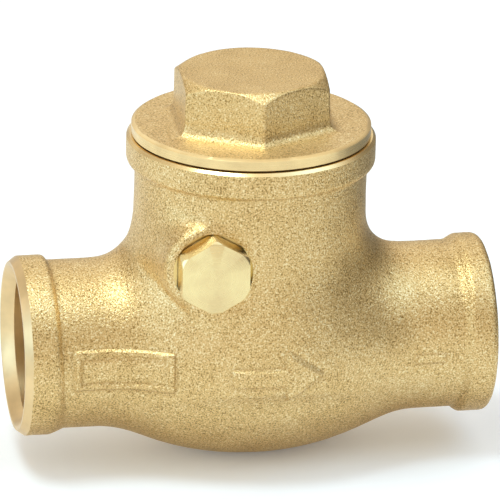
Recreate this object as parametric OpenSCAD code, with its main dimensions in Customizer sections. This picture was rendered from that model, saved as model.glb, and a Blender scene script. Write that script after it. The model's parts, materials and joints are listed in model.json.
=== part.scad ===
// Swing check valve with solder cups, for 3/4 in copper tube (22.2 mm outside), in millimetres.
// X runs along the flow, inlet at -X and outlet at +X. Z is up, along the bonnet.
// The hinge pin lies along Y, and its plug is at -Y.
// The modules are drawn about the point where the flow axis and the bonnet axis cross. placed()
// then moves each one, so that the part's origin is the centre of the inlet cup's tube stop.

/* [Ends] */
// Face to face length
face_to_face = 73.2; // [72:0.2:78]
// Inside radius of the solder cups
cup_r = 11.165; // [11.1:0.005:11.3]
// Depth of the solder cups, lead-in included
cup_depth = 19.05; // [18:0.05:19.5]
// Length of the cone that leads the tube into a cup
lead_in = 1.9; // [0.5:0.1:2.5]
// How far the lead-in cone opens past the cup radius
lead_in_open = 1.25; // [0.3:0.05:1.4]
// Outside radius of the end collars
collar_r = 13.8; // [13.4:0.1:14.4]
// Length of the end collars, chamfer included
collar_len = 4.9; // [4:0.1:8]
// Length of the turned chamfer on a collar
collar_chamfer = 1.15; // [0.4:0.05:1.4]
// Outside radius of the pipe between collar and belly
pipe_r = 12.95; // [12.6:0.05:13.2]

/* [Body] */
// Largest radius of the belly about the flow axis
belly_r = 18.3; // [18:0.1:19.5]
// Radius of the belly's long arc
belly_arc = 45; // [42:1:50]
// Where the belly is widest along the flow
belly_x = 0.3; // [0:0.1:1.5]
// Wall thickness of the belly
belly_wall = 2.8; // [2.4:0.1:3]
// Outside radius of the neck
neck_r = 17.7; // [17.5:0.05:18]
// Radius of the round shoulder between the inlet pipe and the neck
shoulder_r = 13.5; // [13:0.1:14]
// Radius of the water port
port_r = 9.6; // [9:0.1:9.8]

/* [Ring and bonnet] */
// Outside radius of the ring at the top of the neck
ring_r = 19; // [18.8:0.1:20]
// Underside of the ring
ring_low = 28.3; // [27.5:0.1:29]
// Turned top face of the ring
ring_top = 32.8; // [32.4:0.05:32.9]
// Outside radius of the bonnet thread
thread_r = 15; // [14.8:0.1:15]
// Pitch of the bonnet thread, the rise for one turn
thread_pitch = 1.5; // [1:0.25:2]
// Outside radius of the bonnet flange
flange_r = 18.25; // [17.6:0.05:18.6]
// Thickness of the bonnet flange
flange_t = 1.86; // [1.5:0.02:2.4]
// Width across flats of the bonnet hex
hex_af = 22.3; // [20:0.1:24]
// Height of the bonnet hex above the flange
hex_h = 8; // [6:0.1:10]
// Turn of the bonnet hex where the thread comes up tight, in degrees
hex_turn = 27.7; // [0:0.1:60]

/* [Hinge] */
// Hinge pin position along the flow
pin_x = -8.7; // [-8.8:0.1:-8]
// Hinge pin height over the flow axis
pin_z = 16.7; // [16.4:0.1:17]
// Hinge pin radius
pin_r = 1.5; // [1.2:0.1:1.6]
// Across flats of the hinge plug hex
plug_af = 10.3; // [9:0.1:10.4]
// Thread radius of the hinge plug
plug_thread_r = 4; // [3.5:0.1:4.2]
// Distance from the valve's middle plane to the spot face that the plug seats on
spot_y = 15.2; // [14.8:0.1:15.6]

/* [Disc] */
// Plane of the seat along the flow
seat_x = -12.4; // [-12.4:0.1:-12]
// Outside radius of the disc holder
disc_r = 11.7; // [11.4:0.1:11.8]

/* [Flow arrow] */
// Length of the raised arrow on the front of the belly
arrow_len = 14; // [10:0.5:16]
// Height of the arrow's head
arrow_h = 8; // [6:0.5:10]

/* [Hidden] */
$fn = 96;

cast_brass = [0.80, 0.65, 0.38];
turned_brass = [0.90, 0.76, 0.47];
steel = [0.75, 0.75, 0.76];
black_rubber = [0.08, 0.08, 0.08];
white_ptfe = [0.92, 0.91, 0.88];

gap = 0.03;                     // between faces that touch
over = 1;                       // how far a cutter runs past a face
running = 0.08;                 // radial clearance of the hanger on its pin and on the disc's stud
pin_fit = 0.06;                 // radial clearance of the pin in the body
thread_gap = 0.05;              // radial clearance of a plain cylinder that stands for a thread
half = face_to_face / 2;
stop_x = half - cup_depth;      // the step that a tube stops on

// Body, outside
collar_slope = 1;               // length of the slope from collar to pipe
collar_chamfer_rise = 0.75;     // radial size of the collar's chamfer over its length
shoulder_x = -9.3;
shoulder_z = 6.4;
boss_r = 7.2;                   // cast boss round the plug
boss_y = 16.2;
spot_r = 5.98;                  // spot face that the plug seats on
far_boss_r = 4.6;               // boss for the pin at the far side
far_boss_y = 16.6;
ring_slope = 1.6;               // height of the slope under the ring
ring_edge = 0.5;
arrow_x = 1.2;
arrow_relief = 0.35;

// Body, inside
seat_wall_x = seat_x - 1;       // wall that the raised seat stands on
seat_land = 1.4;                // width of the seat's flat ring
chamber_end_x = 15;             // outlet wall of the chamber
chamber_r = 14.2;               // upright part of the chamber
inner_boss_y = 7.8;             // faces that locate the hanger along the pin
thread_low = 24.2;              // bottom of the neck's thread
gasket_low = 31.8;
gasket_r0 = 15.1;
gasket_r1 = 16.9;
pin_end_y = 13.3;
plug_hole_y = 9.9;              // bottom of the plug's thread

// Bonnet
flange_low = 32.94;
flange_top = flange_low + flange_t;
flange_edge = 0.3;
hex_top = flange_top + hex_h;
hex_cone = 35;                  // angle of the cone that takes the hex corners off, in degrees
skirt_r = thread_r - thread_gap;
skirt_low = 24.6;
skirt_bevel = 0.8;
bore_r = skirt_r - 3.4;         // the bonnet is cored out from below
bore_top = 33.5;
core_r = 7;                     // end of the core, up inside the hex
core_top = 38.5;
relief_h = 1.6;                 // thread relief under the flange
relief_depth = 0.9;

// Hinge plug, pin and their washer
plug_washer_t = 0.4;
plug_head_low = spot_y + plug_washer_t + gap;
plug_head_y = 19.5;
plug_neck = 0.4;                // how much the plug is turned down under its head
plug_start = plug_hole_y + 0.3; // inner end of the plug
plug_bevel = 0.6;
plug_corner_r = spot_r - 0.15;  // the hex corners are turned down to clear the spot face's wall
plug_top_bevel = 0.4;
pin_bevel = 0.4;

// Hanger
eye_r = 3.2;
eye_half = inner_boss_y - 0.25; // half length of the eye
arm_x0 = -8.6;                  // inlet face of the hanger's web
arm_x1 = arm_x0 + 2.5;
arm_w = 6.4;
arm_ring_r = 5;                 // round the disc's stud
rib_w = 1.8;
rib_depth = 1.6;
rib_low = 5.5;

// Disc, from the inlet side to the outlet side
seal_x0 = seat_x + gap;
seal_x1 = seal_x0 + 1.95;
seal_r = disc_r - 0.8;
rim_x = seal_x0 + 0.35;         // the seal stands this far out of the holder's rim
seat_washer_x1 = seal_x0 - gap;
seat_washer_x0 = seat_washer_x1 - 0.7;
seat_nut_x1 = seat_washer_x0 - gap;
seat_nut_x0 = seat_nut_x1 - 1.9;
front_stud_r = 1.75;
front_stud_x = seat_nut_x0 - 0.6;
holder_back = arm_x0 - 0.1;
hanger_washer_x0 = arm_x1 + 0.1;
hanger_washer_x1 = hanger_washer_x0 + 0.75;
hanger_nut_x0 = hanger_washer_x1 + gap;
hanger_nut_x1 = hanger_nut_x0 + 3;
stud_r = 2.5;
stud_x = hanger_nut_x1 + 1;
stud_bevel = 0.4;
seat_washer_r = 5;
hanger_washer_r = 4.6;
seat_nut_af = 6;
hanger_nut_af = 8;
washer_gap = 0.05;              // radial clearance of a washer on its stud

// Moves a piece from the crossing of the axes to the part's own origin.
module placed() {
    translate([stop_x, 0, 0]) children();
}

// A cylinder of radius r along X from x0 to x1.
module along_x(r, x0, x1) {
    translate([x0, 0, 0]) rotate([0, 90, 0]) cylinder(r = r, h = x1 - x0);
}

// A cylinder of radius r along Y from y0 to y1, on the hinge axis.
module along_hinge(r, y0, y1) {
    translate([pin_x, y1, pin_z]) rotate([90, 0, 0]) cylinder(r = r, h = y1 - y0);
}

// Turns a profile about the X axis. Profile points are [radius, x].
module turned_x(points) {
    rotate([0, 90, 0]) rotate_extrude() polygon(points);
}

// Turns a profile about the Z axis. Profile points are [radius, z].
module turned_z(points) {
    rotate_extrude() polygon(points);
}

// Turns a profile about the hinge axis. Profile points are [radius, distance towards -Y].
module turned_hinge(points) {
    translate([pin_x, 0, pin_z]) rotate([90, 0, 0]) turned_z(points);
}

// A ring about the X axis.
module ring_x(r_out, r_in, x0, x1) {
    turned_x([[r_in, x0], [r_out, x0], [r_out, x1], [r_in, x1]]);
}

// A hex nut with its hole, along X from x0 to x1.
module nut_x(across_flats, hole_r, x0, x1) {
    translate([x0, 0, 0]) rotate([0, 90, 0]) difference() {
        cylinder(r = across_flats / sqrt(3), h = x1 - x0, $fn = 6);
        translate([0, 0, -over]) cylinder(r = hole_r, h = x1 - x0 + 2 * over);
    }
}

// The barrel that the belly's long arc makes about the flow axis, from x0 to x1.
module barrel(r, arc, x0, x1) {
    rotate([0, 90, 0]) rotate_extrude() intersection() {
        translate([r - arc, belly_x]) circle(r = arc, $fn = 180);
        translate([0, x0]) square([r, x1 - x0]);
    }
}

// Draws its children at the outlet end, and mirrors them to the inlet end.
module both_ends() {
    children();
    mirror([1, 0, 0]) children();
}

// An end's collar, chamfered at the face and sloped down to the pipe.
module collar() {
    slope_x = half - collar_len - collar_slope;
    turned_x([
        [0, slope_x],
        [pipe_r - 0.1, slope_x],
        [collar_r, half - collar_len],
        [collar_r, half - collar_chamfer],
        [collar_r - collar_chamfer * collar_chamfer_rise, half],
        [0, half]
    ]);
}

// Hollow of a solder cup with its lead-in cone.
module cup() {
    turned_x([
        [0, stop_x],
        [cup_r, stop_x],
        [cup_r, half - lead_in],
        [cup_r + lead_in_open, half],
        [cup_r + lead_in_open, half + over],
        [0, half + over]
    ]);
}

// Raised arrow on the front of the belly. It points the way the water flows.
module flow_arrow() {
    tip = arrow_len / 2;
    neck_x = tip - arrow_h * 0.7;
    shaft = arrow_h / 6;
    intersection() {
        barrel(belly_r + arrow_relief, belly_arc + arrow_relief, -arrow_len, arrow_len);
        translate([arrow_x, 0, 0]) rotate([90, 0, 0]) linear_extrude(height = belly_r + over)
            polygon([
                [-tip, -shaft], [neck_x, -shaft], [neck_x, -arrow_h / 2], [tip, 0],
                [neck_x, arrow_h / 2], [neck_x, shaft], [-tip, shaft]
            ]);
    }
}

// Outside of the casting before it is bored.
module casting() {
    along_x(pipe_r, -half + over, half - over);
    both_ends() collar();
    barrel(belly_r, belly_arc, -21, 23);
    cylinder(r = neck_r, h = ring_low + over);
    turned_z([
        [0, ring_low - ring_slope / 2],
        [neck_r - 0.1, ring_low - ring_slope / 2],
        [ring_r, ring_low + ring_slope / 2],
        [ring_r, ring_top - ring_edge],
        [ring_r - ring_edge, ring_top],
        [0, ring_top]
    ]);
    translate([shoulder_x, 0, shoulder_z]) sphere(r = shoulder_r);
    along_hinge(boss_r, -boss_y, 0);
    along_hinge(far_boss_r, 0, far_boss_y);
    flow_arrow();
}

// Hollow in which the disc swings, with the seat and the pin's inner bosses left standing.
module chamber() {
    reach = 2 * neck_r;
    difference() {
        union() {
            barrel(belly_r - belly_wall, belly_arc - belly_wall, seat_wall_x, chamber_end_x);
            intersection() {
                cylinder(r = chamber_r, h = thread_low + over);
                translate([seat_wall_x, -reach / 2, 0]) cube(reach);
            }
        }
        ring_x(port_r + seat_land, 0, seat_wall_x - over, seat_x);
        along_hinge(far_boss_r, -neck_r, -inner_boss_y);
        along_hinge(far_boss_r, inner_boss_y, neck_r);
    }
}

module valve_body() {
    color(cast_brass) placed() difference() {
        casting();
        chamber();
        both_ends() cup();
        along_x(port_r, -stop_x - over, stop_x + over);
        translate([0, 0, thread_low]) cylinder(r = thread_r, h = ring_top);
        translate([0, 0, gasket_low - gap]) cylinder(r = gasket_r1 + 0.1, h = ring_top);
        along_hinge(spot_r, -belly_r - over, -spot_y);
        along_hinge(plug_thread_r + thread_gap, -spot_y - over, -plug_hole_y);
        along_hinge(pin_r + pin_fit, -plug_hole_y - over, pin_end_y + 0.3);
    }
}

// The wrench hex, with its corners turned off by a cone.
module bonnet_hex() {
    corner = hex_af / sqrt(3);
    face_r = hex_af / 2 - 0.1;
    intersection() {
        translate([0, 0, flange_low]) rotate([0, 0, hex_turn])
            cylinder(r = corner, h = hex_top - flange_low, $fn = 6);
        turned_z([
            [0, flange_low],
            [corner + over, flange_low],
            [corner + over, hex_top - (corner + over - face_r) * tan(hex_cone)],
            [face_r, hex_top],
            [0, hex_top]
        ]);
    }
}

// Cap with a wrench hex, a flange and a threaded skirt, cored out from below.
module bonnet() {
    relief_r = skirt_r - relief_depth;
    color(cast_brass) placed() difference() {
        union() {
            turned_z([
                [0, skirt_low],
                [skirt_r - skirt_bevel, skirt_low],
                [skirt_r, skirt_low + skirt_bevel],
                [skirt_r, flange_low - relief_h],
                [relief_r, flange_low - relief_h + relief_depth / 2],
                [relief_r, flange_low],
                [flange_r, flange_low],
                [flange_r, flange_top - flange_edge],
                [flange_r - flange_edge, flange_top],
                [0, flange_top]
            ]);
            bonnet_hex();
        }
        turned_z([
            [0, skirt_low - over],
            [bore_r, skirt_low - over],
            [bore_r, bore_top],
            [core_r, core_top],
            [0, core_top]
        ]);
    }
}

module bonnet_gasket() {
    color(white_ptfe) placed() turned_z([
        [gasket_r0, gasket_low],
        [gasket_r1, gasket_low],
        [gasket_r1, flange_low - gap],
        [gasket_r0, flange_low - gap]
    ]);
}

module hinge_pin() {
    color(steel) placed() turned_hinge([
        [0, -pin_end_y],
        [pin_r - pin_bevel, -pin_end_y],
        [pin_r, pin_bevel - pin_end_y],
        [pin_r, plug_hole_y - pin_bevel],
        [pin_r - pin_bevel, plug_hole_y],
        [0, plug_hole_y]
    ]);
}

// Hex headed screw plug that closes the pin's hole.
module hinge_plug() {
    corner = plug_af / sqrt(3);
    neck_r = plug_thread_r - plug_neck;
    color(turned_brass) placed() union() {
        turned_hinge([
            [0, plug_start],
            [plug_thread_r - plug_bevel, plug_start],
            [plug_thread_r, plug_start + plug_bevel],
            [plug_thread_r, spot_y],
            [neck_r, spot_y],
            [neck_r, plug_head_low + over],
            [0, plug_head_low + over]
        ]);
        intersection() {
            translate([pin_x, -plug_head_low, pin_z]) rotate([90, 30, 0])
                cylinder(r = corner, h = plug_head_y - plug_head_low, $fn = 6);
            turned_hinge([
                [0, plug_head_low],
                [plug_corner_r, plug_head_low],
                [plug_corner_r, plug_head_y - plug_top_bevel],
                [plug_corner_r - plug_top_bevel, plug_head_y],
                [0, plug_head_y]
            ]);
        }
    }
}

module plug_washer() {
    r0 = plug_thread_r + washer_gap;
    r1 = plug_af / 2 - 0.1;
    color(white_ptfe) placed() turned_hinge([
        [r0, spot_y + 0.02],
        [r1, spot_y + 0.02],
        [r1, spot_y + plug_washer_t],
        [r0, spot_y + plug_washer_t]
    ]);
}

// Swing arm: an eye on the pin, a web with a rib, and a ring round the disc's stud.
module disc_hanger() {
    color(cast_brass) placed() difference() {
        union() {
            along_hinge(eye_r, -eye_half, eye_half);
            along_x(arm_ring_r, arm_x0, arm_x1);
            translate([arm_x0, -arm_w / 2, 0]) cube([arm_x1 - arm_x0, arm_w, pin_z]);
            translate([arm_x1 - over, -rib_w / 2, rib_low])
                cube([over + rib_depth, rib_w, pin_z - rib_low - 0.5]);
        }
        along_hinge(pin_r + running, -neck_r, neck_r);
        along_x(stud_r + running, arm_x0 - over, arm_x1 + rib_depth + over);
    }
}

// Brass cup that holds the soft seat disc, with a stud on each side.
module disc_holder() {
    recess_r = seal_r + washer_gap;
    recess_x = seal_x1 + gap;
    color(turned_brass) placed() turned_x([
        [0, front_stud_x],
        [front_stud_r - stud_bevel, front_stud_x],
        [front_stud_r, front_stud_x + stud_bevel],
        [front_stud_r, recess_x],
        [recess_r, recess_x],
        [recess_r, rim_x],
        [disc_r, rim_x],
        [disc_r, holder_back - 0.5],
        [disc_r - 0.5, holder_back],
        [stud_r, holder_back],
        [stud_r, stud_x - stud_bevel],
        [stud_r - stud_bevel, stud_x],
        [0, stud_x]
    ]);
}

module seat_disc() {
    color(black_rubber) placed() ring_x(seal_r, front_stud_r + washer_gap, seal_x0, seal_x1);
}

module seat_washer() {
    color(steel) placed()
        ring_x(seat_washer_r, front_stud_r + washer_gap, seat_washer_x0, seat_washer_x1);
}

module seat_nut() {
    color(turned_brass) placed()
        nut_x(seat_nut_af, front_stud_r + thread_gap, seat_nut_x0, seat_nut_x1);
}

module hanger_washer() {
    color(steel) placed()
        ring_x(hanger_washer_r, stud_r + washer_gap, hanger_washer_x0, hanger_washer_x1);
}

module hanger_nut() {
    color(turned_brass) placed()
        nut_x(hanger_nut_af, stud_r + thread_gap, hanger_nut_x0, hanger_nut_x1);
}

valve_body();
bonnet();
bonnet_gasket();
hinge_pin();
hinge_plug();
plug_washer();
disc_hanger();
disc_holder();
seat_disc();
seat_washer();
seat_nut();
hanger_washer();
hanger_nut();
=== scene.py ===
"""Looks of the swing check valve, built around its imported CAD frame.

Shapes are worked out in millimetres about the crossing of the flow axis (X) and the bonnet
axis (Z), and are moved into the frame, in metres, when a mesh is made. The cast pieces are
signed distance functions meshed on a grid. Turned faces, bores and threads are then cut into
them as exact lathe shapes.
"""

import json
import math

import bmesh
import bpy
import numpy as np
from mathutils import Matrix, Vector, noise


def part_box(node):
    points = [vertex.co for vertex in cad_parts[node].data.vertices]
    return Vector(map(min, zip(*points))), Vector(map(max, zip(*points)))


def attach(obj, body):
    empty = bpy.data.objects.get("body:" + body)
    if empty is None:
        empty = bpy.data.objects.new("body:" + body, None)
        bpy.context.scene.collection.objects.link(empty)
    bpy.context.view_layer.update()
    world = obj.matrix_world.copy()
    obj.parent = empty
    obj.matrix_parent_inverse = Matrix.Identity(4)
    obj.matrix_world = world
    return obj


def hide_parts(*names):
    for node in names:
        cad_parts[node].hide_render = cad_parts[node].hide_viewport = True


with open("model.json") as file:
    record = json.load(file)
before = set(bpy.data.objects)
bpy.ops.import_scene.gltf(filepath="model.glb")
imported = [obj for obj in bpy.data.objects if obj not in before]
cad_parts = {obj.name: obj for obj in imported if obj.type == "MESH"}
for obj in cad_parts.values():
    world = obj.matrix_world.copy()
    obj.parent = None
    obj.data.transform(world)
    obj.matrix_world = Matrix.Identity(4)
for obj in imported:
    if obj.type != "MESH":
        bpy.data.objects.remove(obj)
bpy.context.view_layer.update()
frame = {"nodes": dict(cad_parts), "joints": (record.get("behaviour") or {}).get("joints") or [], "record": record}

MM = 0.001
LATHE_COLUMNS = 144
MERGE_DISTANCE = 0.005 * MM
# the export thins meshes over 200000
BODY_TRIANGLES, BONNET_TRIANGLES = 186000, 150000    # triangles left in each mesh after decimation


# ---------------------------------------------------------------------------- sizes from the frame

def named(items, name):
    return next(item for item in items if item["name"] == name)


INLET_CUP = named(frame["record"]["mounts"], "inlet_cup")
PIN_AXIS = named(frame["joints"], "flap_swing")["pos_m"]
BODY_LOW, BODY_HIGH = (np.array(v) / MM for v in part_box("valve_body"))
CROSS_X = (BODY_LOW[0] + BODY_HIGH[0]) / 2


def box_mm(node):
    """Low and high corner of a CAD node, in mm about the crossing of the axes."""
    shift = np.array([CROSS_X, 0, 0])
    low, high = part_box(node)
    return np.array(low) / MM - shift, np.array(high) / MM - shift


HALF = BODY_HIGH[0] - CROSS_X
RING_R = BODY_HIGH[1]
RING_TOP = BODY_HIGH[2]
BELLY_R = -BODY_LOW[2]
CUP_R = INLET_CUP["dims"]["r_mm"]
CUP_WALL = INLET_CUP["dims"]["length_mm"]
STOP_X = CROSS_X - INLET_CUP["pos_m"][0] / MM
LEAD_IN = HALF - STOP_X - CUP_WALL
PIN_X = PIN_AXIS[0] / MM - CROSS_X
PIN_Z = PIN_AXIS[2] / MM
BONNET_LOW, BONNET_HIGH = box_mm("bonnet")
FLANGE_R = BONNET_HIGH[0]
HEX_TOP = BONNET_HIGH[2]

# Sizes that no box gives. They follow the CAD's, apart from edges.
COLLAR_R, COLLAR_CHAMFER = 13.8, 1.15
PIPE_R = 12.95
BELLY_ARC, BELLY_X, WALL = 45.0, 0.3, 2.8
NECK_R = 17.7
RING_LOW = 28.5
PORT_R = 9.6
SEAT_X, SEAT_LAND = -12.4, 1.4
CHAMBER_R, CHAMBER_END_X = 14.2, 15.0
THREAD_R, THREAD_LOW, PITCH = 15.0, 24.2, 1.5
GASKET_LOW, GASKET_R = 31.77, 17.0
SKIRT_R, SKIRT_LOW = THREAD_R - 0.05, BONNET_LOW[2]
FLANGE_LOW, FLANGE_TOP = 32.94, 34.8
HEX_AF, HEX_TURN, HEX_CONE = 22.3, math.radians(27.7), math.radians(38)
HEX_DRAFT = math.tan(math.radians(1.3))
CORE_R, CORE_TOP_R, CORE_TOP = 11.55, 7.0, 38.5
BOSS_R, BOSS_Y, SPOT_R, SPOT_Y = 7.2, 16.25, 5.98, 15.2
FAR_BOSS_R, FAR_BOSS_Y, INNER_BOSS_Y = 4.6, 16.6, 7.8
PLUG_THREAD_R, PLUG_HOLE_Y, PLUG_PITCH = 4.0, 9.9, 1.0
PIN_HOLE_R, PIN_END_Y = 1.56, 13.6

# Stock on the castings that the cutters turn off again.
OUTLET_STOCK, SKIRT_STOCK, RIM_STOCK, RING_STOCK = 0.15, 0.6, 1.0, 2.0
MARGIN = 1.2                     # empty grid around a casting


# ---------------------------------------------------------------------------- distance functions

def smooth_min(a, b, k):
    """Union of two distances with a fillet about k wide."""
    h = np.maximum(k - np.abs(a - b), 0) / k
    return np.minimum(a, b) - h * h * k / 4


def smooth_max(a, b, k):
    return -smooth_min(-a, -b, k)


def slope(value, low, high):
    """0 below low, 1 above high, smooth in between."""
    t = np.clip((value - low) / (high - low), 0, 1)
    return t * t * (3 - 2 * t)


def barrel(x, radial, r, arc):
    """Distance to the barrel that the belly's long arc makes about the flow axis."""
    return np.hypot(x - BELLY_X, radial - (r - arc)) - arc


def capped(radial, along, r, low, high, edge):
    """Distance to a cylinder from low to high with rounded edges."""
    return smooth_max(radial - r, np.maximum(low - along, along - high), edge)


def arrow_outline(x, z):
    """Distance to a block arrow that points along the flow, negative inside."""
    centre, tip, head, height, shaft = 1.2, 7.0, 5.6, 4.0, 1.35
    u, v = x - centre, np.abs(z)
    side = np.hypot(head, height)
    triangle = np.maximum((u - tip) * height / side + v * head / side, tip - head - u)
    bar = np.maximum(v - shaft, np.maximum(-tip - u, u - (tip - head) - 0.5))
    return np.minimum(triangle, bar)


def cartouche_outline(x, z):
    """Distance to the stroke of a blank rectangular cartouche on the inlet side."""
    centre_x, centre_z, wide, tall, stroke = -21.6, 0.3, 6.9, 2.7, 0.38
    u, v = np.abs(x - centre_x) - wide, np.abs(z - centre_z) - tall
    return np.abs(np.maximum(u, v)) - stroke


def bar_outline(x, z):
    """Distance to a short plain bar on the outlet side, negative inside."""
    centre_x, centre_z, wide, tall = 26.1, -0.8, 2.3, 0.6
    return np.maximum(np.abs(x - centre_x) - wide, np.abs(z - centre_z) - tall)


def cast_mark(outline, height):
    """Height of a cast mark over the skin: raised inside its outline, with a groove round it."""
    edge, groove_off, groove_half_width, groove_depth = 0.2, 0.42, 0.36, 0.13
    groove = np.clip(1 - np.abs(outline - groove_off) / groove_half_width, 0, 1)
    return height * slope(-outline, -edge, edge) - groove_depth * groove


def pipe_radius(x, z, radial):
    """The cast pipes' radius: a crisp step at the inlet's collar, a soft one at the outlet's.

    Each step changes from the top of the pipe, where under is 0, to its underside, where it is 1.
    """
    under = (0.5 - 0.5 * z / np.maximum(radial, 1)) ** 2
    inlet_start, inlet_length, inlet_power = 32.0, 1.0 + 1.5 * under, 2.3 - 1.1 * under
    outlet_start, outlet_end = 31.2 - 0.25 * under, 33.4 - 0.95 * under
    inlet = 1 - np.clip((inlet_start + x) / inlet_length, 0, 1)
    inlet = 1 - (1 - inlet) ** inlet_power
    rise = np.where(x < 0, inlet, slope(x, outlet_start, outlet_end))
    return PIPE_R + (COLLAR_R - PIPE_R) * rise


def body_outside(x, y, z):
    radial = np.hypot(y, z)
    upright = np.hypot(x, y)
    hinge = np.hypot(x - PIN_X, z - PIN_Z)
    belly_fillet, neck_fillet, ring_fillet, far_boss_fillet = 1.8, 5.6, 0.8, 2.4
    neck_edge, ring_edge, boss_edge, far_boss_edge, outlet_edge = 1.0, 0.9, 2.0, 1.6, 1.5
    arrow_height, badge_height, neck_low = 0.42, 0.34, -1.0

    pipe = radial - pipe_radius(x, z, radial)
    shape = smooth_min(pipe, barrel(x, radial, BELLY_R, BELLY_ARC), belly_fillet)
    neck = capped(upright, z, NECK_R, neck_low, RING_TOP + RING_STOCK, neck_edge)
    shape = smooth_min(shape, neck, neck_fillet)
    ring = capped(upright, z, RING_R, RING_LOW, RING_TOP + RING_STOCK, ring_edge)
    shape = smooth_min(shape, ring, ring_fillet)

    # The plug's boss runs out softly to the upper left and below, and is crisp elsewhere.
    boss = capped(hinge, -y, BOSS_R, 0.0, BOSS_Y, boss_edge)
    upper_left = slope(PIN_X - x, 1, 7) * slope(z - PIN_Z, -5, 0)
    below = slope(PIN_Z - z, 3, 7) * slope(x - PIN_X, -5, 0)
    boss_fillet = 1.2 + 3.4 * upper_left + 2.0 * below
    shape = smooth_min(shape, boss, boss_fillet)
    far_boss = capped(hinge, y, FAR_BOSS_R, 0.0, FAR_BOSS_Y, far_boss_edge)
    shape = smooth_min(shape, far_boss, far_boss_fillet)

    badges = np.minimum(cartouche_outline(x, z), bar_outline(x, z))
    marks = cast_mark(arrow_outline(x, z), arrow_height) + cast_mark(badges, badge_height)
    near_side = slope(-y, 2.0, 5.0)
    shape = shape - near_side * marks
    return smooth_max(shape, x - HALF - OUTLET_STOCK, outlet_edge)


def body_hollow(x, y, z):
    radial = np.hypot(y, z)
    upright = np.hypot(x, y)
    hinge = np.hypot(x - PIN_X, z - PIN_Z)
    wall_x, seat_stock, land_stock, fillet = SEAT_X - 1, 0.3, 0.15, 1.0
    shaft_fillet, seat_edge, pin_boss_edge = 2.0, 0.3, 0.8
    belly = barrel(x, radial, BELLY_R - WALL, BELLY_ARC - WALL)
    belly = smooth_max(belly, np.maximum(wall_x - x, x - CHAMBER_END_X), fillet)
    shaft = capped(upright, z, CHAMBER_R, 0.0, THREAD_LOW + 1, fillet)
    shaft = smooth_max(shaft, wall_x - x, fillet)
    hollow = smooth_min(belly, shaft, shaft_fillet)
    seat = radial - (PORT_R + SEAT_LAND + land_stock)
    seat = smooth_max(seat, x - SEAT_X - seat_stock, seat_edge)
    pin_boss = smooth_max(hinge - FAR_BOSS_R, INNER_BOSS_Y - np.abs(y), pin_boss_edge)
    return smooth_max(hollow, -smooth_min(seat, pin_boss, fillet), fillet)


def body_casting(x, y, z):
    inner_edge = 0.6
    return smooth_max(body_outside(x, y, z), -body_hollow(x, y, z), inner_edge)


def bonnet_casting(x, y, z):
    upright = np.hypot(x, y)
    flats = []
    for k in range(3):
        angle = HEX_TURN + math.radians(30 + 60 * k)
        flats.append(np.abs(x * math.cos(angle) + y * math.sin(angle)))
    corner, cone_edge, top_edge, foot_fillet, flange_edge = 0.3, 0.18, 0.25, 2.0, 0.4
    cone_bite, flange_stock_low = 0.25, 30.0
    half_flat = HEX_AF / 2 + (FLANGE_TOP + 1 - z) * HEX_DRAFT
    prism = smooth_max(smooth_max(flats[0], flats[1], corner), flats[2], corner) - half_flat
    beyond_cone = upright - HEX_AF / 2 + cone_bite
    cone = beyond_cone * math.sin(HEX_CONE) + (z - HEX_TOP) * math.cos(HEX_CONE)
    head = smooth_max(smooth_max(prism, cone, cone_edge), z - HEX_TOP, top_edge)
    head = np.maximum(head, FLANGE_LOW - 1 - z)
    flange = capped(upright, z, FLANGE_R + RIM_STOCK, flange_stock_low, FLANGE_TOP, flange_edge)
    solid = smooth_min(head, flange, foot_fillet)
    skirt_r, skirt_low = SKIRT_R + SKIRT_STOCK, SKIRT_LOW - 2
    skirt = capped(upright, z, skirt_r, skirt_low, FLANGE_TOP - 1, flange_edge)
    solid = np.minimum(solid, skirt)
    core_shoulder, core_slant, core_top_edge, core_mouth_edge = 5, 0.75, 2.0, 0.5
    core_r = CORE_R - (CORE_R - CORE_TOP_R) * slope(z, CORE_TOP - core_shoulder, CORE_TOP)
    core = smooth_max((upright - core_r) * core_slant, z - CORE_TOP, core_top_edge)
    return smooth_max(solid, -core, core_mouth_edge)


# ---------------------------------------------------------------------------- meshing

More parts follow.
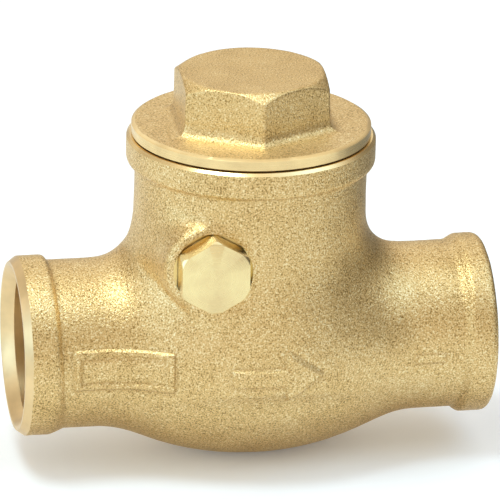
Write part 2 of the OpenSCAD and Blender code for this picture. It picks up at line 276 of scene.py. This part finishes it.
def surface_net(distance, low, high, step):
    """Points and quads of the distance function's zero level, meshed on a grid of cubes."""
    counts = np.ceil((np.array(high) - low) / step).astype(int) + 1
    xs, ys, zs = (low[i] + step * np.arange(counts[i]) for i in range(3))
    value = np.empty(counts)
    for i, x in enumerate(xs):
        value[i] = distance(np.full((1, 1), x), ys[:, None], zs[None, :])
    # The grid's border counts as empty, so that the surface closes inside it.
    for axis in range(3):
        for end in (0, -1):
            rim = np.moveaxis(value, axis, 0)[end]
            np.maximum(rim, step / 2, out=rim)
    inside = value < 0
    total = np.zeros(counts - 1, np.int8)
    for a in (0, 1):
        for b in (0, 1):
            for c in (0, 1):
                total += inside[a:counts[0] - 1 + a, b:counts[1] - 1 + b, c:counts[2] - 1 + c]
    crossing = (total > 0) & (total < 8)
    cells = np.argwhere(crossing)
    number = np.full(crossing.shape, -1)
    number[crossing] = np.arange(len(cells))
    place, hits = np.zeros((len(cells), 3)), np.zeros(len(cells))
    quads = []
    for axis in range(3):
        unit = np.eye(3, dtype=int)[axis]
        side_a, side_b = np.eye(3, dtype=int)[(axis + 1) % 3], np.eye(3, dtype=int)[(axis + 2) % 3]
        for a in (0, 1):
            for b in (0, 1):
                start = cells + a * side_a + b * side_b
                v0 = value[tuple(start.T)]
                v1 = value[tuple((start + unit).T)]
                cut = (v0 < 0) != (v1 < 0)
                t = v0[cut] / (v0[cut] - v1[cut])
                place[cut] += start[cut] + t[:, None] * unit
                hits[cut] += 1
        ends = [slice(0, n - u) for n, u in zip(counts, unit)]
        shifted = [slice(u, n) for n, u in zip(counts, unit)]
        first, second = inside[tuple(ends)], inside[tuple(shifted)]
        edge = np.argwhere(first != second)
        edge = edge[(edge[:, (axis + 1) % 3] > 0) & (edge[:, (axis + 2) % 3] > 0)]
        corner = [edge, edge - side_a, edge - side_a - side_b, edge - side_b]
        quad = np.stack([number[tuple(c.T)] for c in corner], 1)
        leaving = first[tuple(edge.T)]
        quad[~leaving] = quad[~leaving][:, ::-1]
        quads.append(quad)
    return low + step * place / hits[:, None], np.vstack(quads)


def settle(points, distance, step):
    """Moves points onto the zero level, and returns them with the outward normals there."""
    tiny, least_slope = 0.02, 0.3
    for _ in range(3):
        x, y, z = points.T
        here = distance(x, y, z)
        grad = np.stack([
            distance(x + tiny, y, z) - distance(x - tiny, y, z),
            distance(x, y + tiny, z) - distance(x, y - tiny, z),
            distance(x, y, z + tiny) - distance(x, y, z - tiny),
        ], 1) / (2 * tiny)
        size = np.maximum(np.linalg.norm(grad, axis=1), least_slope)
        move = np.clip(here / size, -step / 2, step / 2)
        normal = grad / size[:, None]
        points = points - normal * move[:, None]
    return points, normal


def cast_noise(point, seed):
    """Uneven skin of a sand casting at one point, in mm: low waves and a pebbled grain."""
    wave_height, pebble_height = 0.05, 0.010
    waves_per_mm, coarse_per_mm, fine_per_mm, fine_share = 0.28, 0.9, 1.9, 0.8
    offset = Vector((seed, seed * 0.7, -seed))
    waves = noise.noise(point * waves_per_mm + offset)
    coarse = noise.noise(point * coarse_per_mm + offset)
    pebbles = coarse + fine_share * noise.noise(point * fine_per_mm + offset)
    return wave_height * waves + pebble_height * pebbles


def link_object(name, data):
    obj = bpy.data.objects.new(name, data)
    bpy.context.scene.collection.objects.link(obj)
    return obj


def new_mesh(name, points, faces, material):
    """A linked object from mm points about the crossing of the axes."""
    mesh = bpy.data.meshes.new(name)
    metres = (np.asarray(points, float) + [CROSS_X, 0, 0]) * MM
    mesh.from_pydata(metres.tolist(), [], [list(map(int, f)) for f in faces])
    mesh.validate()
    mesh.materials.append(material)
    return link_object(name, mesh)


def cast_mesh(name, distance, low, high, step, seed, material):
    """A casting from its distance function, inside the box from low to high, with its skin."""
    points, quads = surface_net(distance, np.array(low, float), np.array(high, float), step)
    points, normal = settle(points, distance, step)
    rough = np.array([cast_noise(Vector(p), seed) for p in points])
    return new_mesh(name, points + normal * rough[:, None], quads, material)


def lathe(name, profile, axis, material, thread=None, centre=(0, 0, 0), closed=False,
          columns=LATHE_COLUMNS):
    """A turned solid. profile is [(radius, along), ...] about axis 'x', 'z' or '-y'.

    It runs from one point on the axis to another, or in a loop when closed is true. thread is
    (low, high, pitch, depth): between low and high, a helical V groove sinks into the radius.
    """
    angle = np.linspace(0, 2 * math.pi, columns, endpoint=False)
    rings = []
    for radius, along in profile:
        r = np.full(columns, float(radius))
        if thread and thread[0] <= along <= thread[1] and radius > 0:
            start, end, pitch, depth = thread
            phase = ((along - start) / pitch - angle / (2 * math.pi)) % 1
            off_middle = np.abs(phase - 0.5) * 2
            root_and_crest, flank = 1.25, 1.5    # flat at the root and along the crest
            groove = np.clip(root_and_crest - off_middle * flank, 0, 1)
            r = r - depth * groove
        rings.append((r, float(along)))
    points, faces, index = [], [], []
    for r, along in rings:
        if r[0] == 0:
            index.append([len(points)] * columns)
            points.append((0.0, 0.0, along))
        else:
            index.append(list(range(len(points), len(points) + columns)))
            height = np.full(columns, along)
            points.extend(zip(r * np.cos(angle), r * np.sin(angle), height))
    pairs = list(zip(index, index[1:] + index[:1])) if closed else list(zip(index, index[1:]))
    for low_ring, high_ring in pairs:
        for i in range(columns):
            j = (i + 1) % columns
            corners = [low_ring[i], low_ring[j], high_ring[j], high_ring[i]]
            unique = list(dict.fromkeys(corners))
            if len(unique) > 2:
                faces.append(unique)
    points = np.array(points)
    turned = {
        "z": points,
        "x": points[:, [2, 0, 1]],
        "-y": np.stack([points[:, 0], -points[:, 2], points[:, 1]], 1),
    }[axis]
    obj = new_mesh(name, turned + np.array(centre), faces, material)
    fix_normals(obj)
    return obj


def fix_normals(obj):
    work = bmesh.new()
    work.from_mesh(obj.data)
    bmesh.ops.recalc_face_normals(work, faces=work.faces)
    work.to_mesh(obj.data)
    work.free()


def apply_modifiers(obj):
    graph = bpy.context.evaluated_depsgraph_get()
    graph.update()
    done = bpy.data.meshes.new_from_object(obj.evaluated_get(graph))
    obj.modifiers.clear()
    obj.data = done


def combine(obj, others, operation="DIFFERENCE"):
    """Cuts others from obj, or keeps what they share. Each face keeps its own material."""
    for other in others:
        step = obj.modifiers.new("combine", "BOOLEAN")
        step.operation = operation
        step.object = other
        step.solver = "EXACT"
        step.material_mode = "TRANSFER"
        apply_modifiers(obj)
        bpy.data.objects.remove(other)


def lighten(obj, faces_wanted):
    """Brings a mesh down to about this many triangles."""
    triangles = sum(len(p.vertices) - 2 for p in obj.data.polygons)
    if triangles > faces_wanted:
        step = obj.modifiers.new("lighten", "DECIMATE")
        step.ratio = faces_wanted / triangles
        apply_modifiers(obj)


def clean(obj):
    """Merges doubled points, drops faces without area and fills the slits that cuts leave."""
    work = bmesh.new()
    work.from_mesh(obj.data)
    bmesh.ops.remove_doubles(work, verts=work.verts, dist=MERGE_DISTANCE)
    bmesh.ops.dissolve_degenerate(work, edges=work.edges, dist=MERGE_DISTANCE)
    bmesh.ops.holes_fill(work, edges=work.edges, sides=8)
    work.to_mesh(obj.data)
    work.free()


def smooth(obj, sharp_degrees=34):
    obj.data.shade_smooth()
    obj.data.set_sharp_from_angle(angle=math.radians(sharp_degrees))


# ---------------------------------------------------------------------------- materials

class Nodes:
    """Short calls to build the node tree of a material or a world."""

    def __init__(self, owner):
        owner.use_nodes = True
        self.owner = owner
        self.tree = owner.node_tree
        place = self.add("ShaderNodeTexCoord")
        self.coords, self.toward = place.outputs["Object"], place.outputs["Generated"]

    def add(self, kind, **settings):
        node = self.tree.nodes.new(kind)
        for key, value in settings.items():
            setattr(node, key, value)
        return node

    def link(self, source, target):
        self.tree.links.new(source, target)

    def noise(self, scale, detail=2.0, rough=0.5, vector=None):
        """Noise with about scale features to the metre."""
        node = self.add("ShaderNodeTexNoise")
        node.inputs["Scale"].default_value = scale
        node.inputs["Detail"].default_value = detail
        node.inputs["Roughness"].default_value = rough
        self.link(vector or self.coords, node.inputs["Vector"])
        return node.outputs["Fac"]

    def math(self, operation, a, b=0.0):
        node = self.add("ShaderNodeMath", operation=operation)
        for socket, value in zip(node.inputs, (a, b)):
            if isinstance(value, (int, float)):
                socket.default_value = value
            else:
                self.link(value, socket)
        return node.outputs[0]

    def ramp(self, fac, stops):
        node = self.add("ShaderNodeValToRGB")
        ramp = node.color_ramp
        while len(ramp.elements) < len(stops):
            ramp.elements.new(0.5)
        for element, (at, color) in zip(ramp.elements, stops):
            element.position = at
            element.color = (*color, 1)
        self.link(fac, node.inputs["Fac"])
        return node.outputs["Color"]

    def mix(self, fac, color, other):
        """color where fac is 0, and the socket other where it is 1."""
        node = self.add("ShaderNodeMix", data_type="RGBA")
        self.link(fac, node.inputs["Factor"])
        sockets = [i for i in node.inputs if i.name in ("A", "B") and i.type == "RGBA"]
        sockets[0].default_value = (*color, 1)
        self.link(other, sockets[1])
        return [o for o in node.outputs if o.type == "RGBA"][0]

    def map_range(self, value, start=(0.0, 1.0), end=(0.0, 1.0), **settings):
        node = self.add("ShaderNodeMapRange", **settings)
        for name, limit in zip(("From Min", "From Max", "To Min", "To Max"), start + end):
            node.inputs[name].default_value = limit
        self.link(value, node.inputs["Value"])
        return node.outputs["Result"]

    def split(self, vector):
        node = self.add("ShaderNodeSeparateXYZ")
        self.link(vector, node.inputs[0])
        return dict(zip("xyz", node.outputs))

    def seen(self):
        """1 for what the camera sees directly, 0 for reflections and bounced light."""
        return self.add("ShaderNodeLightPath").outputs["Is Camera Ray"]

    def open_sky(self, distance, low, high):
        """0 in creases narrower than the distance and 1 on open faces: a mask for painting shade into creases."""
        node = self.add("ShaderNodeAmbientOcclusion", samples=8, only_local=True)
        node.inputs["Distance"].default_value = distance
        return self.map_range(node.outputs["AO"], (low, high))

    def bump(self, height, distance, strength=1.0, after=None):
        node = self.add("ShaderNodeBump")
        node.inputs["Strength"].default_value = strength
        node.inputs["Distance"].default_value = distance
        self.link(height, node.inputs["Height"])
        if after:
            self.link(after, node.inputs["Normal"])
        return node.outputs["Normal"]

    def finish(self, color=None, roughness=None, normal=None, metallic=0.0):
        shader = self.tree.nodes["Principled BSDF"]
        shader.inputs["Metallic"].default_value = metallic
        for name, value in (("Base Color", color), ("Roughness", roughness), ("Normal", normal)):
            if value is not None:
                self.link(value, shader.inputs[name])
        return self.owner


def material_nodes(name):
    return Nodes(bpy.data.materials.new(name))


def cast_brass(name, contrast=1.0):
    """Shot-blasted cast brass: a fine crisp grain of dark pits and bright specks.

    Brass seen in reflections and bounced light is painted paler than the camera sees it: a painted lift of the
    light that brass throws on brass.
    """
    painted_crease_shade, painted_pale_bounce, grain_height = (0.33, 0.20, 0.07), (0.88, 0.74, 0.51), 0.20 * MM
    speck_share, patch_share = 0.80, 0.20
    n = material_nodes(name)
    speck = n.noise(4300, 1.0, 0.5)
    pebble = n.noise(2300, 2.0, 0.55)
    patch = n.noise(110, 3.0, 0.6)
    specks = n.math("MULTIPLY", speck, speck_share * contrast)
    tone = n.math("ADD", specks, n.math("MULTIPLY", patch, patch_share))
    tone = n.math("ADD", tone, speck_share / 2 * (1 - contrast))
    color = n.ramp(tone, [
        (0.35, (0.36, 0.220, 0.070)), (0.44, (0.72, 0.495, 0.205)), (0.56, (0.84, 0.595, 0.265)),
        (0.65, (1.0, 0.84, 0.49)),
    ])
    # Painted shade: creases are mixed toward a dark brown, darker the narrower they are.
    color = n.mix(n.open_sky(0.9 * MM, 0.55, 0.92), painted_crease_shade, color)
    # Painted light: reflections and bounced light get a paler brass colour than the camera sees.
    color = n.mix(n.seen(), painted_pale_bounce, color)
    height = n.math("ADD", n.math("MULTIPLY", pebble, 0.6), n.math("MULTIPLY", speck, 0.4))
    normal = n.bump(height, grain_height, 0.75)
    roughness = n.map_range(pebble, end=(0.32, 0.50))
    return n.finish(color, roughness, normal, 1.0)


def turned_brass(name, axis, color=(0.96, 0.71, 0.345), rough=(0.20, 0.36)):
    """Machined brass with fine lathe marks. axis is its letter and a point on it, in metres."""
    direction, centre = axis
    n = material_nodes(name)
    parts = n.split(n.coords)
    squares = []
    for letter, middle in zip("xyz", centre):
        if letter != direction:
            offset = n.math("SUBTRACT", parts[letter], middle)
            squares.append(n.math("MULTIPLY", offset, offset))
    radius = n.math("SQRT", n.math("ADD", *squares))
    marks = n.add("ShaderNodeCombineXYZ")
    n.link(radius, marks.inputs[0])
    n.link(parts[direction], marks.inputs[1])
    lines = n.noise(5200, 2.0, 0.6, marks.outputs[0])
    stain = n.noise(160, 3.0, 0.6)
    low = tuple(c * 0.86 for c in color)
    high = tuple(min(1.0, c * 1.07) for c in color)
    base = n.ramp(stain, [(0.35, low), (0.65, high)])
    normal = n.bump(lines, 0.03 * MM, 0.35)
    normal = n.bump(n.noise(420, 3.0, 0.6), 0.06 * MM, 0.25, normal)
    return n.finish(base, n.map_range(lines, end=rough), normal, 1.0)


def steel(name):
    n = material_nodes(name)
    scratches = n.noise(3000, 2.0, 0.6)
    base = n.ramp(n.noise(200, 2.0), [(0.35, (0.50, 0.50, 0.51)), (0.65, (0.66, 0.66, 0.67))])
    roughness = n.map_range(scratches, end=(0.22, 0.42))
    return n.finish(base, roughness, n.bump(scratches, 0.02 * MM, 0.4), 1.0)


def rubber(name):
    n = material_nodes(name)
    grain = n.noise(2600, 2.0, 0.6)
    tones = [(0.3, (0.012, 0.012, 0.013)), (0.7, (0.030, 0.029, 0.028))]
    base = n.ramp(n.noise(240, 2.0), tones)
    return n.finish(base, n.map_range(grain, end=(0.55, 0.80)), n.bump(grain, 0.03 * MM, 0.5))


def ptfe(name):
    n = material_nodes(name)
    haze = n.noise(420, 3.0, 0.5)
    base = n.ramp(haze, [(0.3, (0.70, 0.69, 0.64)), (0.7, (0.84, 0.83, 0.79))])
    normal = n.bump(n.noise(1800, 2.0), 0.02 * MM, 0.4)
    return n.finish(base, n.map_range(haze, end=(0.35, 0.55)), normal)


def axis_point(x, y, z):
    """A point in mm about the crossing, in the frame's metres."""
    return ((x + CROSS_X) * MM, y * MM, z * MM)


FLOW_AXIS = ("x", axis_point(0, 0, 0))
BONNET_AXIS = ("z", axis_point(0, 0, 0))
HINGE_AXIS = ("y", axis_point(PIN_X, 0, PIN_Z))

CAST = cast_brass("cast_brass")
CAST_FINE = cast_brass("cast_brass_fine", 0.82)
TURNED_X = turned_brass("turned_brass_flow", FLOW_AXIS, (0.86, 0.63, 0.325), (0.27, 0.43))
TURNED_Z = turned_brass("turned_brass_bonnet", BONNET_AXIS)
TURNED_Y = turned_brass("turned_brass_hinge", HINGE_AXIS, (1.0, 0.775, 0.39))
STEEL = steel("ground_steel")
RUBBER = rubber("nitrile_rubber")
PTFE = ptfe("ptfe_sheet")


# ---------------------------------------------------------------------------- pieces

def mirrored(profile):
    return [(r, -x) for r, x in profile]


def thread_rows(low, high, pitch, r):
    """Profile points close enough together to carry a helical groove."""
    rows = int(round((high - low) / pitch * 8))
    return [(r, low + (high - low) * i / rows) for i in range(rows + 1)]


def cylinder(r, low, high):
    """Profile of a plain cylinder."""
    return [(0, low), (r, low), (r, high), (0, high)]


def body_cutters():
    """Lathe shapes for both ends, port, seat, neck, plug hole and pin hole."""
    clear_r, clear_x = COLLAR_R + 3, HALF + 4
    mouth_r, chamfer_end = CUP_R + 1.35, HALF - COLLAR_CHAMFER
    cup = [
        (0, STOP_X), (CUP_R, STOP_X), (CUP_R, HALF - LEAD_IN), (mouth_r - 0.1, HALF - 0.05),
        (mouth_r, HALF),
    ]
    beyond = [(clear_r, clear_x), (0, clear_x)]
    inlet = cup + [
        (COLLAR_R - 0.85, HALF), (COLLAR_R, chamfer_end),
        (COLLAR_R + 1.2, chamfer_end - 1.6), (clear_r, chamfer_end - 1.6),
    ] + beyond
    outlet = cup + [(clear_r, HALF)] + beyond
    port = cylinder(PORT_R, -STOP_X - 0.5, STOP_X + 0.5)
    seat = cylinder(PORT_R + SEAT_LAND + 0.05, SEAT_X, SEAT_X + 0.9)
    rim_chamfer_end = RING_TOP - 0.75
    bore = [
        (0, THREAD_LOW), (THREAD_R - 0.6, THREAD_LOW), (THREAD_R, THREAD_LOW + 0.6),
        (THREAD_R, GASKET_LOW), (GASKET_R, GASKET_LOW), (GASKET_R, RING_TOP),
        (RING_R - 0.45, RING_TOP), (RING_R + 0.35, rim_chamfer_end),
        (RING_R + 3, rim_chamfer_end), (RING_R + 3, RING_TOP + 5), (0, RING_TOP + 5),
    ]
    plug_hole_r = PLUG_THREAD_R + 0.05
    spot = [
        (0, PLUG_HOLE_Y), (plug_hole_r, PLUG_HOLE_Y), (plug_hole_r, SPOT_Y),
        (SPOT_R, SPOT_Y), (SPOT_R, BELLY_R + 3), (0, BELLY_R + 3),
    ]
    pin = cylinder(PIN_HOLE_R, -PIN_END_Y, PLUG_HOLE_Y + 0.5)
    hinge = (PIN_X, 0, PIN_Z)
    return [
        lathe("cut", mirrored(inlet), "x", TURNED_X),
        lathe("cut", outlet, "x", TURNED_X),
        lathe("cut", port, "x", TURNED_X),
        lathe("cut", seat, "x", TURNED_X),
        lathe("cut", bore, "z", TURNED_Z),
        lathe("cut", spot, "-y", TURNED_Y, centre=hinge, columns=96),
        lathe("cut", pin, "-y", TURNED_Y, centre=hinge, columns=48),
    ]


def stand_for(obj, node, body):
    """Makes a piece ride on its body in place of its CAD node."""
    smooth(obj)
    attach(obj, body)
    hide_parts(node)


def machined(obj, cutters, triangles):
    """Turns a casting's machined faces, and brings its mesh down to a number of triangles."""
    combine(obj, cutters)
    clean(obj)
    lighten(obj, triangles)
    clean(obj)


def valve_body():
    low = np.array([-HALF, -BELLY_R, -BELLY_R]) - MARGIN
    high = np.array([HALF, RING_R, RING_TOP]) + MARGIN
    step = 0.31
    obj = cast_mesh("valve_body_casting", body_casting, low, high, step, seed=3.1, material=CAST)
    machined(obj, body_cutters(), BODY_TRIANGLES)
    stand_for(obj, "valve_body", "housing")


def bonnet_cutter():
    """Ring-shaped cutter that turns the rim, the flange's underside and the threaded skirt."""
    thread_low, relief, thread_depth = SKIRT_LOW + 0.8, FLANGE_LOW - 1.6, 0.8
    inner_r, outer_r, relief_r, edge_r = 9.0, FLANGE_R + 4, SKIRT_R - 0.9, FLANGE_R - 0.9
    profile = [(inner_r, SKIRT_LOW), (SKIRT_R - 0.85, SKIRT_LOW)]
    profile += thread_rows(thread_low, relief, PITCH, SKIRT_R)
    profile += [
        (relief_r, relief + 0.5), (relief_r, FLANGE_LOW), (FLANGE_R - 0.15, FLANGE_LOW),
        (FLANGE_R, FLANGE_LOW + 0.15), (FLANGE_R, FLANGE_TOP - 0.32),
        (FLANGE_R - 0.55, FLANGE_TOP + 0.02), (edge_r, FLANGE_TOP + 0.16),
        (edge_r, FLANGE_TOP + 1.5), (outer_r, FLANGE_TOP + 1.5),
        (outer_r, SKIRT_LOW - 3), (inner_r, SKIRT_LOW - 3),
    ]
    thread = (thread_low, relief, PITCH, thread_depth)
    return lathe("cut", profile, "z", TURNED_Z, thread=thread, closed=True)


def bonnet():
    reach = FLANGE_R + 2 + MARGIN
    low = [-reach, -reach, SKIRT_LOW - 2.5 - MARGIN]
    high = [reach, reach, HEX_TOP + MARGIN]
    step = 0.21
    obj = cast_mesh(
        "bonnet_casting", bonnet_casting, low, high, step, seed=7.7, material=CAST_FINE)
    machined(obj, [bonnet_cutter()], BONNET_TRIANGLES)
    stand_for(obj, "bonnet", "bonnet")


def hex_bar(name, across_flats, length, centre, material):
    """A hexagonal bar with slightly rounded edges, from centre towards -Y, one edge on top."""
    corner = across_flats / math.sqrt(3)
    bar = bmesh.new()
    rim = []
    for k in range(6):
        angle = math.radians(30 + 60 * k)
        rim.append(bar.verts.new((corner * math.cos(angle), 0, corner * math.sin(angle))))
    bar.faces.new(rim)
    pushed = bmesh.ops.extrude_face_region(bar, geom=list(bar.faces))["geom"]
    moved = [v for v in pushed if isinstance(v, bmesh.types.BMVert)]
    bmesh.ops.translate(bar, verts=moved, vec=(0, -length, 0))
    long_edges = [e for e in bar.edges if e.calc_length() > corner + 1]
    bmesh.ops.bevel(bar, geom=long_edges, offset=0.15, segments=3, profile=0.5, affect="EDGES")
    bar.verts.index_update()
    points = [Vector(centre) + v.co for v in bar.verts]
    faces = [[v.index for v in f.verts] for f in bar.faces]
    bar.free()
    obj = new_mesh(name, points, faces, material)
    fix_normals(obj)
    return obj


def hinge_plug():
    low, high = box_mm("hinge_plug")
    head_y, start = -low[1], -high[1]
    head_low = SPOT_Y + 0.43
    turned_r = (high[2] - low[2]) / 2
    root_r, thread_low, thread_high = PLUG_THREAD_R - 0.6, start + 0.6, SPOT_Y - 0.7
    centre = (PIN_X, 0, PIN_Z)
    profile = [(0, start), (root_r, start)]
    profile += thread_rows(thread_low, thread_high, PLUG_PITCH, PLUG_THREAD_R)
    profile += [
        (root_r, SPOT_Y - 0.4), (root_r, head_low),
        (turned_r - 0.5, head_low), (turned_r, head_low + 0.3), (turned_r, head_y - 0.5),
        (turned_r - 0.34, head_y - 0.05), (turned_r - 0.44, head_y), (0, head_y),
    ]
    thread = (thread_low, thread_high, PLUG_PITCH, 0.5)
    obj = lathe("hinge_plug_turned", profile, "-y", TURNED_Y, thread, centre, columns=96)
    hexagon = hex_bar("hexagon", high[0] - low[0], head_y + 2, centre, TURNED_Y)
    combine(obj, [hexagon], "INTERSECT")
    stand_for(obj, "hinge_plug", "plug")


def paint_cad_nodes():
    """Procedural finishes for the CAD nodes that stay."""
    finishes = {
        "bonnet_gasket": PTFE, "plug_washer": PTFE, "hinge_pin": STEEL, "seat_washer": STEEL,
        "hanger_washer": STEEL, "seat_disc": RUBBER, "disc_hanger": CAST, "disc_holder": TURNED_X,
        "seat_nut": TURNED_X, "hanger_nut": TURNED_X,
    }
    for name, material in finishes.items():
        mesh = frame["nodes"][name].data
        mesh.materials.clear()
        mesh.materials.append(material)


# ---------------------------------------------------------------------------- stage

def studio_world():
    """Soft surroundings: a few broad glows, each around a direction, warmer where they are dim.

    The camera itself sees a pale backdrop in their place.
    """
    glows = (    # direction, strength, sharpness
        ((-0.97, -0.22, 0.12), 2.50, 6),     # left
        ((-0.31, -0.05, 0.95), 0.95, 6),     # overhead
        ((0.00, -1.00, 0.12), 1.10, 6),      # front
        ((0.57, -0.20, 0.77), 2.60, 10),     # upper right
        ((0.05, 0.75, 0.62), 1.14, 6),       # above and behind
        ((-0.55, 0.85, 0.12), 0.45, 6),      # behind on the left
        ((0.43, 0.90, 0.12), 0.10, 6),       # behind on the right
    )
    dimmest, backdrop_strength = 0.02, 0.9
    world = bpy.data.worlds.new("studio")
    n = Nodes(world)
    total = dimmest
    for direction, strength, sharpness in glows:
        dot = n.add("ShaderNodeVectorMath", operation="DOT_PRODUCT")
        n.link(n.toward, dot.inputs[0])
        dot.inputs[1].default_value = Vector(direction).normalized()
        glow = n.math("POWER", n.math("MAXIMUM", dot.outputs["Value"], 0.0), sharpness)
        total = n.math("ADD", n.math("MULTIPLY", glow, strength), total)
    seen = n.seen()
    unseen = n.math("SUBTRACT", 1.0, seen)
    tint = n.ramp(n.math("MULTIPLY", total, 0.4), [
        (0.10, (1.0, 0.91, 0.78)), (0.36, (1.0, 0.945, 0.85)), (0.76, (0.58, 0.78, 1.0)),
    ])
    backdrop = n.math("MULTIPLY", seen, backdrop_strength)
    background = n.tree.nodes["Background"]
    n.link(n.mix(unseen, (1.0, 0.995, 0.985), tint), background.inputs["Color"])
    brightness = n.math("ADD", n.math("MULTIPLY", total, unseen), backdrop)
    n.link(brightness, background.inputs["Strength"])
    return world


def pale_floor():
    """Near-white to the camera. In reflections it darkens to the right, where a table would end."""
    base_tone, mottle, camera_lift, camera_glow = 0.86, 0.06, 0.07, 0.10
    fall_distance, fall_depth = (0.08, 0.20), 0.65
    n = material_nodes("pale_floor")
    seen = n.seen()
    unseen = n.math("SUBTRACT", 1.0, seen)
    place = n.split(n.coords)
    diagonal = n.math("ADD", place["x"], n.math("MULTIPLY", place["y"], 1.5))
    away = n.math("MINIMUM", n.math("MULTIPLY", place["x"], 1.6), diagonal)
    fall = n.map_range(away, fall_distance, (0.0, fall_depth), interpolation_type="SMOOTHSTEP")
    bounce = n.math("SUBTRACT", base_tone, n.math("MULTIPLY", unseen, fall))
    tone = n.math("ADD", n.math("MULTIPLY", n.noise(2.0, 2.0), mottle), bounce)
    tone = n.math("ADD", n.math("MULTIPLY", seen, camera_lift), tone)
    color = n.ramp(tone, [(0.0, (0.0, 0.0, 0.0)), (1.0, (1.0, 0.995, 0.985))])
    shader = n.tree.nodes["Principled BSDF"]
    shader.inputs["Emission Color"].default_value = (1, 1, 1, 1)
    n.link(n.math("MULTIPLY", seen, camera_glow), shader.inputs["Emission Strength"])
    shader.inputs["Roughness"].default_value = 0.9
    return n.finish(color)


def add_floor():
    size, floor_z = 3.0, -BELLY_R * MM
    corners = [(x * size, y * size, floor_z) for x, y in ((-1, -1), (1, -1), (1, 1), (-1, 1))]
    mesh = bpy.data.meshes.new("floor")
    mesh.from_pydata(corners, [], [(0, 1, 2, 3)])
    mesh.materials.append(pale_floor())
    link_object("floor", mesh)


def add_key_lamp():
    light = bpy.data.lights.new("key", "AREA")
    light.shape = "DISK"
    light.size = 0.20
    light.energy = 1.2
    light.color = (0.66, 0.86, 1.0)
    centre, offset = Vector(axis_point(0, 0, 6)), Vector((-0.17, -0.06, 0.54))
    lamp = link_object("key", light)
    lamp.location = centre + offset
    lamp.rotation_euler = (centre - lamp.location).to_track_quat("-Z", "Y").to_euler()


def add_camera():
    """The camera at the photographed angle: a long lens, a little above and left of square."""
    azimuth, elevation, roll = math.radians(-11.07), math.radians(20.6), math.radians(0.95)
    distance, view_width = 0.925, 0.077
    aim_right, aim_up = 0.00034, 0.0128
    back = Vector((
        math.sin(azimuth) * math.cos(elevation),
        -math.cos(azimuth) * math.cos(elevation),
        math.sin(elevation),
    ))
    data = bpy.data.cameras.new("camera")
    data.sensor_width = 36.0
    data.lens = data.sensor_width * distance / view_width
    data.clip_start, data.clip_end = 0.05, 20.0
    camera = link_object("camera", data)
    camera.rotation_mode = "QUATERNION"
    turn = (-back).to_track_quat("-Z", "Y").to_matrix().to_4x4() @ Matrix.Rotation(roll, 4, "Z")
    aim = Vector(axis_point(0, 0, 0)) + turn.to_3x3() @ Vector((aim_right, aim_up, 0))
    camera.matrix_world = Matrix.Translation(aim + back * distance) @ turn
    bpy.context.scene.camera = camera


def studio():
    add_floor()
    bpy.context.scene.world = studio_world()
    add_key_lamp()
    add_camera()
    bpy.context.scene.view_settings.view_transform = "Standard"


valve_body()
bonnet()
hinge_plug()
paint_cad_nodes()
studio()
